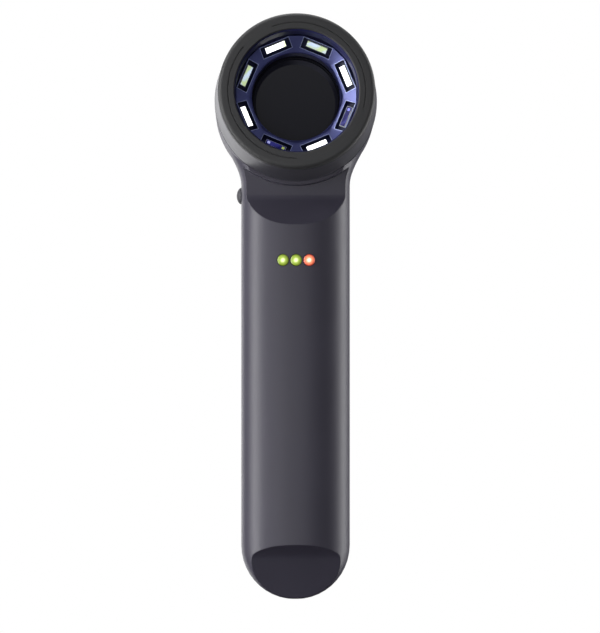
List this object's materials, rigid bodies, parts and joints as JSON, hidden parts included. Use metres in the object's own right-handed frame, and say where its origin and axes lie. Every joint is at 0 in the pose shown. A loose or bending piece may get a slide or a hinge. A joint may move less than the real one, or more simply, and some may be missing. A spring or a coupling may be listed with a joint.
{
  "type": "skin magnifier",
  "caption": "Handheld lit skin magnifier: battery handle with a round lens head, ring of lights, side button and focusing ring.",
  "frame": {"origin": "in the middle of the grip, on the handle's axis, at the grip mount", "axes": "+Z along the handle to the head, -Y to the skin side, +Y to the eye side, +X to the right seen from the skin side"},
  "size_m": [0.0498, 0.0524, 0.178],
  "materials": {
    "casing": "soft-touch, fine grain",
    "drum": "satin",
    "seat": "matte black, turned groove",
    "carrier": "satin blue-violet facets",
    "lamp": "lit emitter",
    "glass": "coated, polished",
    "barrel": "moulded",
    "cell_tube": "black anodised",
    "blackened_metal": "dull black",
    "focus_grip": "ribbed grip",
    "soft_rim": "matte",
    "button": "smooth dome",
    "steel": "plain",
    "board": "solder mask",
    "green_light": "lit dome",
    "red_light": "lit dome",
    "battery_wrap": "shrink sleeve",
    "tray": "moulded",
    "flex": "polyimide"
  },
  "bodies": {
    "casing": {"front_shell": "casing", "rear_shell": "casing", "head_drum": "drum", "seat_ring": "seat", "led_carrier": "carrier", "led_board": "board", "lens_barrel": "barrel", "tact_switch": "steel", "main_board": "board", "battery_cell": "battery_wrap", "battery_tray": "tray", "tray_contact": "steel", "tray_spring": "steel", "usb_socket": "steel", "charge_board": "board", "led_flex": "flex", "illumination_led_1": "lamp", "illumination_led_2": "lamp", "illumination_led_3": "lamp", "illumination_led_4": "lamp", "illumination_led_5": "lamp", "illumination_led_6": "lamp", "illumination_led_7": "lamp", "illumination_led_8": "lamp", "seat_magnet_1": "steel", "seat_magnet_2": "steel", "seat_magnet_3": "steel", "case_screw_1": "steel", "case_screw_2": "steel", "case_screw_3": "steel", "case_screw_4": "steel", "drum_screw_1": "steel", "drum_screw_2": "steel", "drum_screw_3": "steel", "status_led_1": "lamp", "status_led_2": "lamp", "status_led_3": "lamp", "light_pipe_1": "green_light", "light_pipe_2": "green_light", "light_pipe_3": "red_light"},
    "lens_cell": {"lens_cell": "cell_tube", "front_lens": "glass", "lens_spacer": "blackened_metal", "rear_lens": "glass", "retaining_ring": "blackened_metal"},
    "focus_ring": {"focus_ring": "focus_grip", "eyepiece_rim": "soft_rim"},
    "button": {"button_cap": "button"}
  },
  "joints": [
    {"name": "button_press", "type": "slide", "parent": "casing", "child": "button", "axis": [1, 0, 0], "range_m": [0, 0.0005], "stiffness_N_per_m": 2000, "springref_m": -0.0003},
    {"name": "focus_turn", "type": "hinge", "parent": "casing", "child": "focus_ring", "pos_m": [0, 0, 0.079], "axis": [0, -0.9962, 0.0872], "range_deg": [0, 90]},
    {"name": "cell_slide", "type": "slide", "parent": "casing", "child": "lens_cell", "axis": [0, 0.9962, -0.0872], "range_m": [0, 0.0015]}
  ],
  "couplings": [
    {"joint": "focus_turn", "follows": "cell_slide", "rad_per_m": 1047.2}
  ]
}
